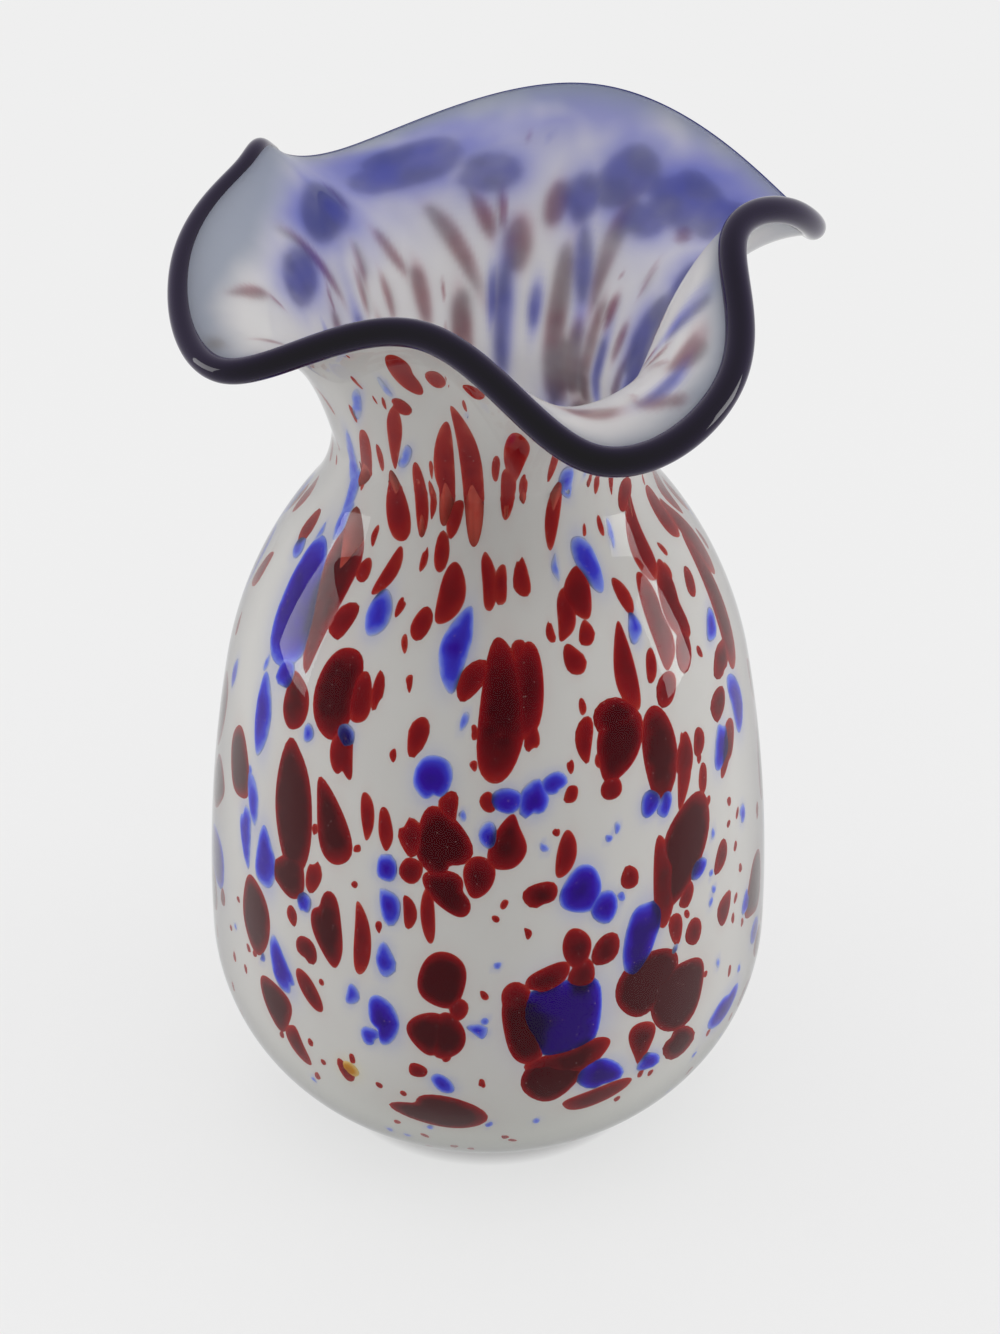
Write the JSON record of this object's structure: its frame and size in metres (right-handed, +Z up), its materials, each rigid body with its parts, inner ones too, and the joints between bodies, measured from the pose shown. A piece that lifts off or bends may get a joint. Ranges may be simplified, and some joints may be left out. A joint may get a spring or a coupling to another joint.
{
  "type": "vase",
  "caption": "Hand blown art glass vase with a ruffled mouth, a dark lip trail, and red and blue chips between opal and clear glass.",
  "frame": {"origin": "centre of the flat foot, on the plane it stands on", "axes": "+Z up along the vase's axis, -Y towards the front, +X to the right seen from the front"},
  "size_m": [0.1438, 0.153, 0.2382],
  "materials": {
    "clear_glass": "gloss",
    "opal_glass": "gloss",
    "aubergine_glass": "gloss",
    "red_glass": "gloss",
    "blue_glass": "gloss"
  },
  "bodies": {
    "root": {"clear_casing": "clear_glass", "opal_lining": "opal_glass", "lip_trail": "aubergine_glass", "red_chips": "red_glass", "blue_chips": "blue_glass"}
  },
  "joints": []
}
